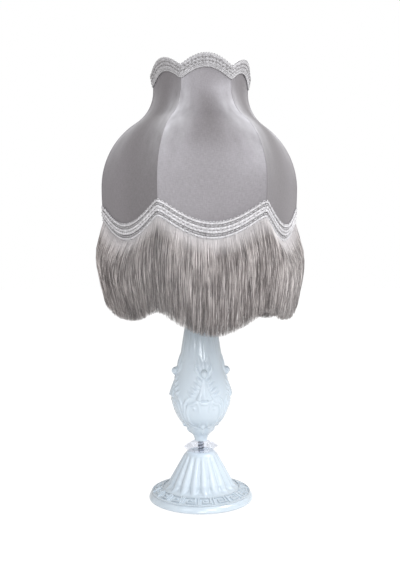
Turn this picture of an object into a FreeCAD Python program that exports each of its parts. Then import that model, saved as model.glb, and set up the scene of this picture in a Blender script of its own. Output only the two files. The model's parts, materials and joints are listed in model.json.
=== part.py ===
import FreeCAD, Part
import math
import os
from FreeCAD import Vector

# Candle lamp: a white moulded candlestick with a clear faceted knop carries a
# spring-fed candle tube, and a six-panel scalloped shade with a long fringe
# rests on the gallery round the flame.
# Millimetres, +Z up, origin on the table under the middle of the foot.
# The front panel faces -Y, so two of the six ribs stand on the X axis.

SIDES = 6
FRONT = -90
SPRING_STEPS = 2
SHEET_ROWS = 18
LINING_ROWS = 12
BRAID_ROWS = 4
FRINGE_ROWS = 6
SHEET_COLUMNS = 6
UP = Vector(0, 0, 1)
CENTRE = Vector(0, 0, 0)
overrun = 5.0

# Foot
pad_thickness = 1.6
pad_proud = 0.8
pad_ledge = 4.0
crown_radius = 19.1
foot_rim_overhang = 6.6
foot_rim_roll = 1.8
foot_rim_bulge = 0.5
foot_shoulder_height = 8.4
foot_shoulder_bulge = 1.4
key_band_reach = 12.4
key_band_rise = 5.2
cone_foot_step = 4.2
cone_foot_rise = 4.0
cone_foot_hollow = 0.8
cone_reach = 14.9
cone_rise = 29.0
crown_reach = 5.6
crown_rise = 6.0
crown_bulge = 1.1
foot_wall = 3.2

# Reeds on the foot's cone
reed_count = 18
reed_top_radius = 2.7
reed_foot_radius = 5.3
reed_proud_share = 0.45

# Tie rod, with its nuts and washer
rod_radius = 3.0
rod_clearance = 0.2
rod_tail = 3.0
nut_facets = 6
nut_across_flats = 10.0
nut_height = 5.0
washer_radius = 8.0
washer_thickness = 1.2

# Clear knop
knop_facets = 6
knop_radius = 18.9
knop_foot_inset = 5.2
knop_waist_inset = 4.9
knop_top_inset = 11.2
knop_lower_rise = 4.2
knop_girdle = 0.8
knop_upper_rise = 3.6
knop_cap_rise = 2.4

# Baluster stem
stem_foot_radius = 6.9
cup_waist_gain = 2.6
cup_waist_rise = 7.5
cup_waist_hollow = 0.7
cup_gain = 7.0
cup_rise = 11.5
cup_bulge = 0.9
belly_foot_gain = 11.5
belly_foot_rise = 12.0
belly_foot_bulge = 1.6
belly_gain = 3.6
belly_lower_rise = 15.0
belly_lower_bulge = 0.8
belly_upper_rise = 21.0
belly_upper_loss = 3.0
belly_upper_bulge = 0.8
stem_shoulder_rise = 13.0
stem_shoulder_loss = 3.4
stem_taper_rise = 68.0
stem_taper_loss = 10.7
flute_count = 16
flute_radius = 2.4
flute_depth = 0.8
flute_margin = 5.0
boss_count = 4
boss_place_share = 0.78
boss_radius = 3.4
boss_proud = 2.4
scroll_tip_radius = 2.6
scroll_tip_proud = 1.4

# Candle socket on top of the stem
socket_foot_rise = 4.5
pan_reach = 8.5
pan_rise = 3.0
pan_lip = 1.6
socket_wall = 2.6
socket_floor = 4.0
socket_depth = 26.0

# Candle tube, which plugs into the socket
peg_radius = 10.6
peg_clearance = 0.08
peg_length = 18.0
peg_wall = 1.0
flange_gain = 3.6
flange_thickness = 2.0
tube_radius = 13.0
tube_wall = 0.8
tube_length = 92.0
tube_floor = 2.0

# Spring, follower, candle and wick
spring_wire_radius = 0.7
spring_turns = 6
spring_length = 34.0
spring_side_gap = 1.2
spring_end_gap = 0.3
follower_height = 5.0
follower_wall = 0.5
follower_floor = 1.0
follower_clearance = 0.3
candle_radius = 11.0
candle_clearance = 0.3
candle_tip_radius = 4.2
wick_radius = 0.9
wick_height = 7.0
wick_depth = 12.0
wick_gap = 0.05

# Push-on cap of the tube
cap_wall = 0.8
cap_clearance = 0.05
cap_skirt = 11.0
cap_land = 0.9
cap_crown_rise = 5.2
cap_mouth_radius = 5.6
cap_bead_radius = 1.2

# Gallery that carries the shade
collar_height = 9.0
collar_wall = 1.8
collar_gap = 0.05
collar_drop = 25.0
arm_count = 3
arm_radius = 1.6
arm_bend_radius = 14.0
gallery_radius = 44.5
gallery_width = 6.0
gallery_thickness = 1.6
gallery_rise = 25.5
lip_width = 1.0
lip_rise = 2.6

# Shade outline along a rib, measured on the outside of the satin
neck_radius = 51.8
belly_gain_from_neck = 55.8
neck_curve = 41.5
crown_curve = 75.0
hem_curve = 300.0
top_above_neck = 18.0
neck_above_belly = 104.0
hem_below_belly = 33.0
top_scallop_rise = 13.5
hem_scallop_drop = 25.0
fitter_above_belly = 22.0
satin_thickness = 0.8

# How far the middle of a panel swells from flat towards round, hem to top
swell_shares = (0.36, 0.28, 0.08, -0.04, 0.02, 0.22, 0.36, 0.3, 0.2)

# Lining and shade wires
lining_thickness = 0.6
lining_setback = 2.0
wire_radius = 1.4
wire_clearance = 0.3
top_wire_setback = 3.4
hem_wire_setback = 4.2
ring_clearance = 0.6
weld_gap = 0.35
lining_gap = 0.5
spoke_weld = 0.4
spoke_count = 3
spoke_radius = 1.3
fitter_width = 5.0
fitter_thickness = 1.6
fitter_clearance = 0.6

# Braids and fringe
braid_thickness = 1.9
braid_gap = 0.3
top_braid_width = 13.8
hem_braid_width = 16.4
fringe_length = 94.0
fringe_gap = 0.3
fringe_thickness = 3.6
fringe_outset = 2.0
fringe_flare = 11.5

# How far the fringe stands out at even steps from the hem to its tips
fringe_flare_shares = (0.0, 0.55, 0.93, 1.0, 0.86, 0.68, 0.48)

# Heights that follow from the stack, from the table up
foot_base = pad_proud
band_height = foot_base + foot_shoulder_height
cone_foot_height = band_height + key_band_rise
cone_height = cone_foot_height + cone_foot_rise
crown_height = cone_height + cone_rise
knop_base = crown_height + crown_rise
knop_height = knop_lower_rise + knop_girdle + knop_upper_rise + knop_cap_rise
stem_base = knop_base + knop_height
cup_height = stem_base + cup_waist_rise + cup_rise
shoulder_height = cup_height + belly_foot_rise + belly_lower_rise + belly_upper_rise
boss_height = shoulder_height + stem_shoulder_rise * boss_place_share
taper_base = shoulder_height + stem_shoulder_rise
socket_base = taper_base + stem_taper_rise
socket_rim = socket_base + socket_floor + socket_depth
tube_base = socket_rim + flange_thickness
tube_top = tube_base + tube_length
spring_base = tube_base + tube_floor
follower_base = spring_base + spring_length
candle_base = follower_base + follower_floor
collar_top = tube_top - cap_skirt - collar_drop
gallery_base = tube_top + gallery_rise
fitter_base = gallery_base + gallery_thickness

# Radii that follow from the fits
cone_radius = crown_radius + cone_reach
cone_foot_radius = cone_radius + cone_foot_step
foot_shoulder_radius = cone_foot_radius + key_band_reach
cup_waist_radius = stem_foot_radius + cup_waist_gain
cup_radius = cup_waist_radius + cup_gain
belly_foot_radius = cup_radius + belly_foot_gain
belly_radius = belly_foot_radius + belly_gain
belly_top_radius = belly_radius - belly_upper_loss
taper_radius = belly_top_radius - stem_shoulder_loss
stem_top_radius = taper_radius - stem_taper_loss
rod_bore = rod_radius + rod_clearance
peg_bore = peg_radius + peg_clearance
tube_bore = tube_radius - tube_wall
follower_radius = tube_bore - follower_clearance
collar_bore = tube_radius + collar_gap
collar_radius = collar_bore + collar_wall
lip_radius = gallery_radius - gallery_width / 2 + lip_width
fitter_bore = lip_radius + fitter_clearance
fitter_radius = fitter_bore + fitter_width

# Slope of the cap's crown, which the candle's shoulder follows
cap_bore = tube_radius + cap_clearance
cap_land_radius = tube_bore - cap_land
cap_slope = cap_crown_rise / (cap_land_radius - cap_mouth_radius)
candle_drop = candle_clearance * math.hypot(1, cap_slope)

# Shade heights, hung from the fitter ring
fitter_middle = fitter_base + fitter_thickness / 2
belly_height = fitter_middle - fitter_above_belly
neck_height = belly_height + neck_above_belly
top_height = neck_height + top_above_neck
hem_height = belly_height - hem_below_belly
shade_belly_radius = neck_radius + belly_gain_from_neck
curve_sum = math.hypot(belly_gain_from_neck, neck_above_belly) ** 2 / (2 * belly_gain_from_neck)
belly_curve = curve_sum - neck_curve

# Places of the wires inside the satin, and of the lining inside the wires
corner_angle = math.radians(90 - 180 / SIDES)
wire_inset = satin_thickness + (wire_radius + wire_clearance) / math.sin(corner_angle)
ring_inset = wire_inset + ring_clearance
lining_inset = ring_inset + wire_radius + lining_gap


def polar(radius, degrees, height):
    """A point from its distance to the axis, its bearing and its height."""
    bearing = math.radians(degrees)
    return Vector(radius * math.cos(bearing), radius * math.sin(bearing), height)


def even(first, last, steps):
    """Values from first to last in even steps, both ends included."""
    return [first + (last - first) * i / steps for i in range(steps + 1)]


def turned(shape, degrees):
    """A copy of the shape, turned about the lamp's axis."""
    copy = shape.copy()
    copy.rotate(CENTRE, UP, degrees)
    return copy


def round_axis(shape, count, first=0.0):
    """Copies of the shape, evenly spaced about the lamp's axis."""
    return [turned(shape, first + 360 * i / count) for i in range(count)]


def bulged(start, end, bulge):
    """The arc from start to end that bulges to the right of the way it runs."""
    chord = end - start
    right = Vector(chord.z, 0, -chord.x).normalize()
    return Part.Arc(start, (start + end) * 0.5 + right * bulge, end).toShape()


def outline(*corners):
    """A closed outline in the XZ plane from (r, z) corners.

    A third number bulges the run that leads to its corner to the right of the way it goes.
    """
    edges = []
    here = Vector(corners[0][0], 0, corners[0][1])
    for corner in corners[1:] + corners[:1]:
        there = Vector(corner[0], 0, corner[1])
        if len(corner) > 2:
            edges.append(bulged(here, there, corner[2]))
        else:
            edges.append(Part.LineSegment(here, there).toShape())
        here = there
    return Part.Wire(edges)


def revolved(*corners):
    """The solid that an outline sweeps in one turn about the axis."""
    return Part.Face(outline(*corners)).revolve(CENTRE, UP, 360)


def ring(inner, outer, base, height):
    """A flat ring or a short tube."""
    return revolved((inner, base), (outer, base), (outer, base + height), (inner, base + height))


def ball(radius, centre):
    """A ball about a point."""
    return Part.makeSphere(radius, centre)


def rod(start, end, radius):
    """A straight round bar between two points."""
    run = end - start
    return Part.makeCylinder(radius, run.Length, start, run)


def piped(path, radius):
    """A round bar along a wire that is an arc or a smooth chain of arcs and lines."""
    edge = path.Edges[0]
    circle = Part.Circle(edge.valueAt(edge.FirstParameter), edge.tangentAt(edge.FirstParameter), radius)
    return path.makePipeShell([Part.Wire(circle.toShape())], True, False)


def corner_arc(start, corner, end):
    """The arc from start to end that is tangent to both legs of the corner between them."""
    middle = (start + end) * 0.5
    lean = (end - start).Length / 2 / (corner - start).Length
    return Part.Arc(start, middle + (corner - middle) * (lean / (1 + lean)), end).toShape()


def tangent_arcs(points, headings):
    """A smooth chain of arcs through the points, two for each step, that keeps the headings."""
    edges = []
    for start, end, leave, arrive in zip(points, points[1:], headings, headings[1:]):
        run = end - start
        both = leave + arrive
        spare = both.dot(both) - 4
        along = run.dot(both)
        reach = (along - math.sqrt(along ** 2 - spare * run.dot(run))) / spare
        first = start + leave * reach
        last = end - arrive * reach
        joint = (first + last) * 0.5
        edges += [corner_arc(start, first, joint), corner_arc(joint, last, end)]
    return Part.Wire(edges)


def polygon(count, radius, height):
    """A level polygon with a corner on the X axis."""
    corners = [polar(radius, 360 / count * i, height) for i in range(count)]
    return Part.makePolygon(corners + corners[:1])


# Foot


def make_foot_pad():
    """Felt disc let into the underside of the foot."""
    radius = foot_shoulder_radius + foot_rim_overhang - foot_rim_roll - pad_ledge
    return Part.makeCylinder(radius, pad_thickness)


def foot_body():
    """The foot before it is hollowed and reeded."""
    rim = foot_shoulder_radius + foot_rim_overhang
    reed_top = reed_top_radius * reed_proud_share
    reed_foot = reed_foot_radius * reed_proud_share
    return revolved(
        (0, foot_base),
        (rim - foot_rim_roll, foot_base),
        (rim, foot_base + foot_rim_roll, foot_rim_bulge),
        (foot_shoulder_radius, band_height, foot_shoulder_bulge),
        (cone_foot_radius, cone_foot_height),
        (cone_radius - reed_foot, cone_height, -cone_foot_hollow),
        (crown_radius - reed_top, crown_height),
        (crown_radius - crown_reach, knop_base, crown_bulge),
        (0, knop_base),
    )


def foot_hollow():
    """The space inside the foot, open below, with a recess for the pad."""
    rim = foot_shoulder_radius + foot_rim_overhang - foot_rim_roll
    return revolved(
        (0, foot_base - overrun),
        (rim - pad_ledge, foot_base - overrun),
        (rim - pad_ledge, pad_thickness),
        (rim - pad_ledge - foot_wall, pad_thickness),
        (foot_shoulder_radius - foot_wall, band_height - foot_wall),
        (cone_foot_radius - foot_wall, cone_foot_height - foot_wall),
        (cone_radius - reed_foot_radius - foot_wall, cone_height),
        (crown_radius - reed_top_radius - foot_wall, crown_height - foot_wall),
        (0, crown_height - foot_wall),
    )


def reed():
    """One convex reed lying down the front of the cone, with a round lower end."""
    foot = Vector(cone_radius - reed_foot_radius, 0, cone_height + cone_foot_rise / 2)
    head = Vector(crown_radius - reed_top_radius, 0, crown_height)
    run = head - foot
    bar = Part.makeCone(reed_foot_radius, reed_top_radius, run.Length, foot, run)
    return bar.fuse([ball(reed_foot_radius, foot), ball(reed_top_radius, head)])


def make_foot():
    """Hollow moulded foot with a quarter-round rim, a key band and a reeded cone."""
    reeds = round_axis(reed(), reed_count, FRONT)
    bore = Part.makeCylinder(rod_bore, knop_base + overrun)
    return foot_body().fuse(reeds).cut([foot_hollow(), bore]).removeSplitter()


# Tie rod that holds foot, knop, stem and socket together


def make_tie_rod():
    """Rod from under the foot's crown to inside the socket."""
    base = crown_height - foot_wall - washer_thickness - nut_height - rod_tail
    top = socket_base + socket_floor + nut_height + rod_tail
    return Part.makeCylinder(rod_radius, top - base, Vector(0, 0, base))


def nut(base):
    """Nut on the tie rod."""
    corner = nut_across_flats / 2 / math.cos(math.pi / nut_facets)
    body = Part.Face(polygon(nut_facets, corner, base)).extrude(UP * nut_height)
    return body.cut(Part.makeCylinder(rod_radius, nut_height, Vector(0, 0, base)))


def make_lower_washer():
    """Washer against the roof of the foot's hollow."""
    base = crown_height - foot_wall - washer_thickness
    return ring(rod_bore, washer_radius, base, washer_thickness)


def make_lower_nut():
    """Nut under the foot's crown."""
    return nut(crown_height - foot_wall - washer_thickness - nut_height)


def make_upper_nut():
    """Nut in the floor of the candle socket."""
    return nut(socket_base + socket_floor)


# Knop and stem


def make_knop():
    """Clear knop: a six-sided bead with a sharp girdle, bored for the rod."""
    girdle = knop_base + knop_lower_rise
    waist = girdle + knop_girdle + knop_upper_rise
    sections = [
        polygon(knop_facets, knop_radius - knop_foot_inset, knop_base),
        polygon(knop_facets, knop_radius, girdle),
        polygon(knop_facets, knop_radius, girdle + knop_girdle),
        polygon(knop_facets, knop_radius - knop_waist_inset, waist),
        polygon(knop_facets, knop_radius - knop_top_inset, waist + knop_cap_rise),
    ]
    body = Part.makeLoft(sections, True, True)
    return body.cut(Part.makeCylinder(rod_bore, knop_height + 2 * overrun, Vector(0, 0, knop_base - overrun)))


def stem_body():
    """The stem's turned form, from the knop up to the socket."""
    steps = [
        (cup_waist_radius, cup_waist_rise, -cup_waist_hollow),
        (cup_radius, cup_rise, cup_bulge),
        (belly_foot_radius, belly_foot_rise, belly_foot_bulge),
        (belly_radius, belly_lower_rise, belly_lower_bulge),
        (belly_top_radius, belly_upper_rise, belly_upper_bulge),
        (taper_radius, stem_shoulder_rise, 0),
        (stem_top_radius, stem_taper_rise, 0),
    ]
    corners = [(rod_bore, stem_base), (stem_foot_radius, stem_base)]
    height = stem_base
    for radius, rise, bulge in steps:
        height += rise
        corners.append((radius, height, bulge) if bulge else (radius, height))
    return revolved(*corners, (rod_bore, height))


def flute():
    """Cutter for one hollow flute up the stem's taper."""
    foot = Vector(taper_radius + flute_radius - flute_depth, 0, taper_base + flute_margin)
    head = Vector(stem_top_radius + flute_radius - flute_depth, 0, socket_base - flute_margin)
    return rod(foot, head, flute_radius).fuse([ball(flute_radius, foot), ball(flute_radius, head)])


def make_stem():
    """Baluster stem with a fluted taper, four bosses and scroll tips below the belly."""
    shoulder = belly_top_radius - stem_shoulder_loss * boss_place_share
    boss = ball(boss_radius, Vector(shoulder + boss_proud, 0, boss_height))
    tip = ball(scroll_tip_radius, Vector(cup_radius + scroll_tip_proud, 0, cup_height))
    raised = round_axis(boss, boss_count) + round_axis(tip, boss_count)
    flutes = round_axis(flute(), flute_count, FRONT)
    return stem_body().fuse(raised).cut(flutes)


def make_socket_cup():
    """Turned socket with a drip pan, clamped on the stem by the upper nut."""
    pan_height = socket_base + socket_foot_rise
    pan_radius = stem_top_radius + pan_reach
    outer = peg_bore + socket_wall
    return revolved(
        (rod_bore, socket_base),
        (stem_top_radius, socket_base),
        (pan_radius, pan_height, -pan_lip),
        (pan_radius, pan_height + pan_rise),
        (pan_radius - pan_lip, pan_height + pan_rise),
        (outer, pan_height + pan_lip, pan_lip / 2),
        (outer, socket_rim),
        (peg_bore, socket_rim),
        (peg_bore, socket_base + socket_floor),
        (rod_bore, socket_base + socket_floor),
    )


# Candle insert


def make_candle_tube():
    """Tube with a flange and a hollow peg that plugs into the socket."""
    return revolved(
        (0, tube_base - peg_wall),
        (peg_radius - peg_wall, tube_base - peg_wall),
        (peg_radius - peg_wall, socket_rim - peg_length),
        (peg_radius, socket_rim - peg_length),
        (peg_radius, socket_rim),
        (peg_radius + flange_gain, socket_rim),
        (peg_radius + flange_gain, tube_base),
        (tube_radius, tube_base),
        (tube_radius, tube_top),
        (tube_bore, tube_top),
        (tube_bore, spring_base),
        (0, spring_base),
    )


def least_self_gap(points, turn, radius):
    """Least clear distance between the turns of a wound bar, on points of its centre line."""
    spans = [(there - here).Length for i, here in enumerate(points) for there in points[i + turn:]]
    return min(spans) - 2 * radius


def make_feed_spring():
    """Compression spring under the follower, one unbroken coil of round wire."""
    radius = tube_bore - spring_side_gap - spring_wire_radius
    base = spring_base + spring_end_gap + spring_wire_radius
    climb = spring_length - 2 * (spring_wire_radius + spring_end_gap)
    steps = spring_turns * SPRING_STEPS
    bearings = even(0, 360 * spring_turns, steps)
    points = [polar(radius, bearing, base + climb * i / steps) for i, bearing in enumerate(bearings)]
    slope = climb / math.radians(bearings[-1])
    headings = [polar(radius, bearing + 90, slope).normalize() for bearing in bearings]
    gap = least_self_gap(points, SPRING_STEPS, spring_wire_radius)
    print(f"feed spring: least gap between its turns {gap:.2f} mm")
    return piped(tangent_arcs(points, headings), spring_wire_radius)


def make_follower():
    """Cup that the spring pushes up and the candle stands in."""
    return revolved(
        (0, follower_base),
        (follower_radius, follower_base),
        (follower_radius, follower_base + follower_height),
        (follower_radius - follower_wall, follower_base + follower_height),
        (follower_radius - follower_wall, candle_base),
        (0, candle_base),
    )


def crown_underside(radius):
    """Height of the underside of the cap's crown at a radius."""
    return tube_top + (cap_land_radius - radius) * cap_slope


def make_candle():
    """Candle whose shoulder rises under the cap's crown."""
    top = crown_underside(candle_tip_radius) - candle_drop
    well = top - wick_depth - wick_gap
    return revolved(
        (0, candle_base),
        (candle_radius, candle_base),
        (candle_radius, crown_underside(candle_radius) - candle_drop),
        (candle_tip_radius, top),
        (wick_radius + wick_gap, top),
        (wick_radius + wick_gap, well),
        (0, well),
    )


def make_wick():
    """Wick standing in the candle's tip."""
    top = crown_underside(candle_tip_radius) - candle_drop
    return Part.makeCylinder(wick_radius, wick_height + wick_depth, Vector(0, 0, top - wick_depth))


def make_tube_cap():
    """Push-on cap with a skirt round the tube and a beaded mouth for the flame."""
    mouth = tube_top + cap_crown_rise
    outer = cap_bore + cap_wall
    return revolved(
        (cap_bore, tube_top - cap_skirt),
        (outer + cap_bead_radius - cap_wall, tube_top - cap_skirt),
        (outer + cap_bead_radius - cap_wall, tube_top - cap_skirt + cap_bead_radius),
        (outer, tube_top - cap_skirt + 2 * cap_bead_radius),
        (outer, tube_top + cap_wall),
        (cap_mouth_radius + cap_bead_radius, mouth + cap_wall),
        (cap_mouth_radius, mouth + cap_wall, cap_bead_radius / 2),
        (cap_mouth_radius, mouth),
        (cap_land_radius, tube_top),
        (cap_bore, tube_top),
    )


def gallery_arm():
    """Round arm that leaves the collar level and turns up to the gallery ring."""
    height = collar_top - collar_height / 2
    bend = arm_bend_radius
    start = Vector(collar_radius - arm_radius, 0, height)
    turn_in = Vector(gallery_radius - bend, 0, height)
    turn_out = Vector(gallery_radius, 0, height + bend)
    corner = Vector(gallery_radius, 0, height)
    end = Vector(gallery_radius, 0, gallery_base)
    path = Part.Wire([
        Part.LineSegment(start, turn_in).toShape(),
        corner_arc(turn_in, corner, turn_out),
        Part.LineSegment(turn_out, end).toShape(),
    ])
    return piped(path, arm_radius)


def make_shade_gallery():
    """Collar on the tube with three arms and a lipped ring that the shade rests on."""
    collar = ring(collar_bore, collar_radius, collar_top - collar_height, collar_height)
    inner = lip_radius - lip_width
    outer = gallery_radius + gallery_width / 2
    seat = revolved(
        (inner, gallery_base),
        (outer, gallery_base),
        (outer, fitter_base),
        (lip_radius, fitter_base),
        (lip_radius, gallery_base + lip_rise),
        (inner, gallery_base + lip_rise),
    )
    return collar.fuse(round_axis(gallery_arm(), arm_count, 180 / arm_count) + [seat])


# Shade form


def turn_height(inset):
    """Height where the neck's curve meets the belly's, moved in by an inset."""
    return neck_height - (neck_curve + inset) * neck_above_belly / curve_sum


def rib_radius(height, inset):
    """Distance from the axis to a rib's outline, moved in by an inset."""
    if height > neck_height:
        curve = crown_curve + inset
        return neck_radius + crown_curve - math.sqrt(curve ** 2 - (height - neck_height) ** 2)
    if height > turn_height(inset):
        curve = neck_curve + inset
        return neck_radius + neck_curve - math.sqrt(curve ** 2 - (neck_height - height) ** 2)
    curve = (belly_curve if height > belly_height else hem_curve) - inset
    centre = shade_belly_radius - curve - inset
    return centre + math.sqrt(curve ** 2 - (height - belly_height) ** 2)


def smooth_share(shares, along):
    """The value at a place from 0 to 1 along a table of shares, smooth from each to the next."""
    last = len(shares) - 1
    place = min(max(along, 0), 1) * last
    step = min(int(place), last - 1)
    part = place - step
    before, here, there, after = (shares[min(max(step + i, 0), last)] for i in (-1, 0, 1, 2))
    curve = 2 * before - 5 * here + 4 * there - after + part * (3 * (here - there) + after - before)
    return here + part / 2 * (there - before + part * curve)


def swell(height):
    """How far the middle of a panel stands out from flat towards round at a height."""
    lowest = hem_height - hem_scallop_drop
    highest = top_height + top_scallop_rise
    return smooth_share(swell_shares, (height - lowest) / (highest - lowest))


def shade_point(across, height, inset=0.0, out=0.0):
    """A point of the front panel's side: across runs from -1 at one rib to 1 at the next."""
    half = math.pi / SIDES
    rib = rib_radius(height, inset)
    flat = rib * math.cos(half) / math.cos(half * across)
    radius = flat + swell(height) * (rib - flat) + out
    return polar(radius, FRONT + math.degrees(half) * across, height)


def row_height(across, share):
    """Height of a scalloped row: share 0 is the hem and 1 is the top edge."""
    lift = top_scallop_rise * share ** 3 - hem_scallop_drop * (1 - share) ** 3
    return hem_height + (top_height - hem_height) * share + lift * (1 - across ** 2)


def smooth_face(rows):
    """The smooth surface through a grid of points."""
    surface = Part.BSplineSurface()
    surface.interpolate(rows)
    return surface


def sheet_edges(surface):
    """The four edge curves of a surface, in a fixed order."""
    low_u, high_u, low_v, high_v = surface.bounds()
    curves = [surface.uIso(low_u), surface.uIso(high_u), surface.vIso(low_v), surface.vIso(high_v)]
    return [curve.toShape() for curve in curves]


def between(outer, inner, with_sides):
    """Faces of a curved sheet between two surfaces, with or without its two side faces."""
    edges = list(zip(sheet_edges(outer), sheet_edges(inner)))
    chosen = edges if with_sides else edges[:2]
    return [outer.toShape(), inner.toShape()] + [Part.makeRuledSurface(a, b) for a, b in chosen]


def sewn(faces):
    """The solid that closed faces enclose."""
    shell = Part.Shell(faces)
    shell.sewShape()
    solid = Part.Solid(shell)
    if solid.Volume < 0:
        solid.reverse()
    return solid


def grid(place, rows, columns):
    """Points from place(across, down) for even rows and columns."""
    return [[place(across, down) for across in even(-1, 1, columns)] for down in even(0, 1, rows)]


def hoop(outer_place, inner_place, rows):
    """A closed band of equal sides, sewn into one solid."""
    outer = smooth_face(grid(outer_place, rows, SHEET_COLUMNS))
    inner = smooth_face(grid(inner_place, rows, SHEET_COLUMNS))
    side = between(outer, inner, False)
    return sewn([turned(face, 360 / SIDES * i) for i in range(SIDES) for face in side])


def gore(outer_place, inner_place, rows, number):
    """One side of the shade as a closed sheet, turned to its place."""
    outer = smooth_face(grid(outer_place, rows, SHEET_COLUMNS))
    inner = smooth_face(grid(inner_place, rows, SHEET_COLUMNS))
    return turned(sewn(between(outer, inner, True)), 360 / SIDES * number)


def make_panel(number):
    """One satin gore from hem to top, between two ribs."""
    return gore(
        lambda a, s: shade_point(a, row_height(a, s)),
        lambda a, s: shade_point(a, row_height(a, s), satin_thickness),
        SHEET_ROWS,
        number,
    )


def lining_row(across, share):
    """Height of the lining's rows, set back from the wires at both edges."""
    return row_height(across, share) + lining_setback * (1 - 2 * share)


def spokes(radius, end):
    """Three level bars from the fitter ring out to an end radius."""
    start = Vector(fitter_radius - spoke_weld, 0, fitter_middle)
    return round_axis(rod(start, Vector(end, 0, fitter_middle), radius), spoke_count)


def make_lining():
    """Inner skin of the shade, behind the wires, with slits for the fitter's spokes."""
    skin = hoop(
        lambda a, s: shade_point(a, lining_row(a, s), lining_inset),
        lambda a, s: shade_point(a, lining_row(a, s), lining_inset + lining_thickness),
        LINING_ROWS,
    )
    return skin.cut(spokes(spoke_radius + wire_clearance, shade_belly_radius))


def braid_point(across, height, out):
    """A point of a braid, at a distance out from its glued side."""
    return shade_point(across, height, 0, braid_gap + out)


def make_top_braid():
    """Braid glued round the outside of the top edge."""
    return hoop(
        lambda a, s: braid_point(a, row_height(a, 1) - top_braid_width * (1 - s), braid_thickness),
        lambda a, s: braid_point(a, row_height(a, 1) - top_braid_width * (1 - s), 0),
        BRAID_ROWS,
    )


def make_hem_braid():
    """Braid glued round the outside of the hem, over the fringe's heading."""
    return hoop(
        lambda a, s: braid_point(a, row_height(a, 0) + hem_braid_width * s, braid_thickness),
        lambda a, s: braid_point(a, row_height(a, 0) + hem_braid_width * s, 0),
        BRAID_ROWS,
    )


def fringe_point(across, down, out):
    """A point of the fringe, which flares below the hem and then hangs."""
    flare = fringe_flare * smooth_share(fringe_flare_shares, down)
    head = shade_point(across, row_height(across, 0))
    reach = math.hypot(head.x, head.y)
    scale = (reach + out + flare) / reach
    return Vector(head.x * scale, head.y * scale, head.z - fringe_gap - fringe_length * down)


def make_fringe(number):
    """Fringe that hangs from the hem of one gore."""
    return gore(
        lambda a, s: fringe_point(a, s, fringe_outset),
        lambda a, s: fringe_point(a, s, fringe_outset - fringe_thickness),
        FRINGE_ROWS,
        number,
    )


# Shade frame


def rib_arc(low, high):
    """Arc of the rib's centre line between two heights."""
    heights = (low, (low + high) / 2, high)
    points = [Vector(rib_radius(height, wire_inset), 0, height) for height in heights]
    return Part.Arc(*points).toShape()


def make_rib_wire(number):
    """Bent wire behind one seam of the satin, from the hem wire to the top wire."""
    start = hem_height + hem_wire_setback + wire_radius + weld_gap
    end = top_height - top_wire_setback - wire_radius - weld_gap
    marks = [start, belly_height, turn_height(wire_inset), neck_height, end]
    path = Part.Wire([rib_arc(low, high) for low, high in zip(marks, marks[1:])])
    return turned(piped(path, wire_radius), 360 / SIDES * number)


def scalloped_wire(share, lift):
    """Welded wire ring that follows the scallops of an edge."""
    def place(across):
        return shade_point(across, row_height(across, share) + lift, ring_inset)

    side = Part.Wire(Part.Arc(place(-1), place(0), place(1)).toShape())
    bars = round_axis(piped(side, wire_radius), SIDES)
    return bars[0].fuse(bars[1:])


def make_top_wire():
    """Top wire of the shade's frame."""
    return scalloped_wire(1, -top_wire_setback)


def make_hem_wire():
    """Hem wire of the shade's frame."""
    return scalloped_wire(0, hem_wire_setback)


def make_shade_fitter():
    """Fitter ring that sits on the gallery, with three spokes to the ribs."""
    band = ring(fitter_bore, fitter_radius, fitter_base, fitter_thickness)
    reach = rib_radius(fitter_middle, wire_inset) - wire_radius - weld_gap
    return band.fuse(spokes(spoke_radius, reach))


PIECES = {
    "foot_pad": make_foot_pad,
    "foot": make_foot,
    "lower_nut": make_lower_nut,
    "lower_washer": make_lower_washer,
    "tie_rod": make_tie_rod,
    "knop": make_knop,
    "stem": make_stem,
    "socket_cup": make_socket_cup,
    "upper_nut": make_upper_nut,
    "candle_tube": make_candle_tube,
    "feed_spring": make_feed_spring,
    "follower": make_follower,
    "candle": make_candle,
    "wick": make_wick,
    "tube_cap": make_tube_cap,
    "shade_gallery": make_shade_gallery,
    "shade_fitter": make_shade_fitter,
    "top_wire": make_top_wire,
    "hem_wire": make_hem_wire,
    "lining": make_lining,
    "top_braid": make_top_braid,
    "hem_braid": make_hem_braid,
}

SIDE_PIECES = {
    "panel": make_panel,
    "fringe": make_fringe,
    "rib_wire": make_rib_wire,
}


def main():
    """Write one STEP file for each piece."""
    os.makedirs("parts", exist_ok=True)
    for name, make in PIECES.items():
        make().exportStep(f"parts/{name}.step")
    for name, make in SIDE_PIECES.items():
        for number in range(SIDES):
            make(number).exportStep(f"parts/{name}_{number + 1}.step")


if __name__ == "__main__":
    main()
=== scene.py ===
"""Looks of the candle lamp: opal candlestick, clear knop, candle tube and fringed satin shade."""

import json
import logging
import math
import random
from dataclasses import dataclass
from enum import Enum
from typing import Callable, Iterable, Sequence

import bpy
from bpy.types import ID, Material, Mesh, Node, NodeSocket, Object, World
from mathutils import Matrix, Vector
from mathutils.bvhtree import BVHTree

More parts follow.
